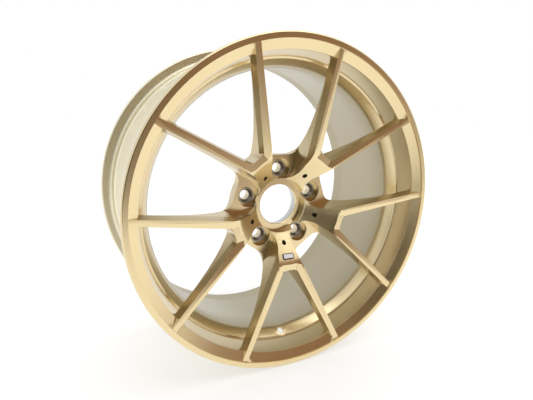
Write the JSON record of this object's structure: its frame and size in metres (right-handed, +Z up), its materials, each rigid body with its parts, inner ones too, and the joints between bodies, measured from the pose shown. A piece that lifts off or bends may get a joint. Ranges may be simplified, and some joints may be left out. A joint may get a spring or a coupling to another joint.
{
  "type": "forged racing wheel rim",
  "caption": "Forged aluminium racing wheel with five deep Y-shaped arms, a dished hub with five recessed bolt seats, and a drop-centre rim.",
  "frame": {"origin": "on the wheel's axis, midway between the outboard and inboard flanges", "axes": "the wheel stands upright: its axis is Y, the outboard face with the spokes looks toward -Y, the mounting face looks toward +Y, +Z is up, and one Y-shaped arm, the badge and the valve hole point straight down"},
  "size_m": [0.5179, 0.2514, 0.518],
  "materials": {
    "satin_gold_aluminium": "satin champagne-gold lacquer on forged aluminium",
    "bare_aluminium": "bare turned aluminium",
    "seat_steel": "bare turned steel",
    "black_plug": "matt dark plastic",
    "adhesive": "foam adhesive pad",
    "badge_black": "black anodised plate with a satin sheen",
    "badge_silver": "satin silver inlay"
  },
  "bodies": {
    "root": {"forged_wheel": "satin_gold_aluminium", "hub_centring_ring": "bare_aluminium", "bolt_seat_1": "seat_steel", "bolt_seat_2": "seat_steel", "bolt_seat_3": "seat_steel", "bolt_seat_4": "seat_steel", "bolt_seat_5": "seat_steel", "arm_hole_plug_1": "black_plug", "arm_hole_plug_2": "black_plug", "arm_hole_plug_3": "black_plug", "arm_hole_plug_4": "black_plug", "arm_hole_plug_5": "black_plug", "badge_adhesive_pad": "adhesive", "badge_plate": "badge_black", "badge_inlay": "badge_silver"}
  },
  "joints": []
}
